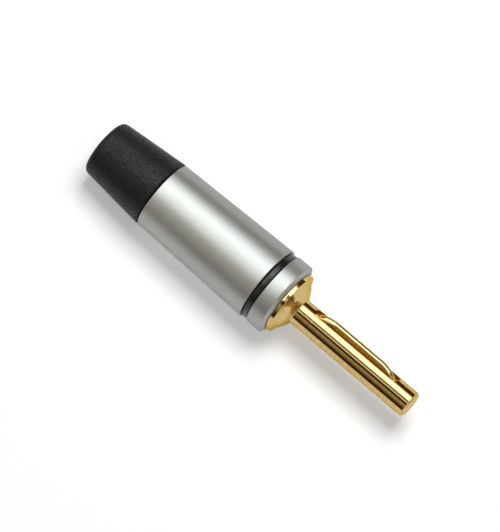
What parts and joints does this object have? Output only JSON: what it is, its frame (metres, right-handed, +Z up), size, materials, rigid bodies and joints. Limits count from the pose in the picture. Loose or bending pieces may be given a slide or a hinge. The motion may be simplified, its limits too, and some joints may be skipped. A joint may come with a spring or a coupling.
{
  "type": "banana plug",
  "caption": "Banana plug for 4 mm sockets: sprung gold-plated pin, screw-on aluminium barrel with a colour ring, and a rubber cable boot.",
  "frame": {"origin": "on the plug's axis, at the root of the pin", "axes": "+X along the plug's axis towards the pin's tip, +Z up as the plug lies in the picture, with the spring slot up and towards +Y"},
  "size_m": [0.055, 0.0112, 0.0112],
  "materials": {
    "gold_plate": "polished gold plate",
    "gold_spring": "polished gold plate",
    "satin_aluminium": "satin anodised",
    "black_ring": "satin",
    "black_rubber": "fine matte grain",
    "screw_steel": "plain"
  },
  "bodies": {
    "contact": {"contact_body": "gold_plate"},
    "leaf": {"contact_leaf": "gold_spring"},
    "front_screw": {"clamp_screw_front": "screw_steel"},
    "rear_screw": {"clamp_screw_rear": "screw_steel"},
    "boot": {"cable_boot": "black_rubber"},
    "barrel": {"barrel": "satin_aluminium", "polarity_ring": "black_ring"}
  },
  "joints": [
    {"name": "leaf_press", "type": "slide", "parent": "contact", "child": "leaf", "axis": [0, -0.682, -0.7314], "range_m": [0, 0.0005], "stiffness_N_per_m": 5000, "deforming": ["contact_leaf"]},
    {"name": "front_screw_drive", "type": "slide", "parent": "contact", "child": "front_screw", "axis": [0, 0, -1], "range_m": [0, 0.0015]},
    {"name": "rear_screw_drive", "type": "slide", "parent": "contact", "child": "rear_screw", "axis": [0, 0, -1], "range_m": [0, 0.0015]},
    {"name": "boot_travel", "type": "slide", "parent": "contact", "child": "boot", "axis": [-1, 0, 0], "range_m": [0, 0.0045]},
    {"name": "barrel_turn", "type": "hinge", "parent": "boot", "child": "barrel", "pos_m": [-0.0134, 0, 0], "axis": [-1, 0, 0], "range_deg": [0, 2160]}
  ],
  "couplings": [
    {"joint": "barrel_turn", "follows": "boot_travel", "rad_per_m": 8377.6}
  ]
}
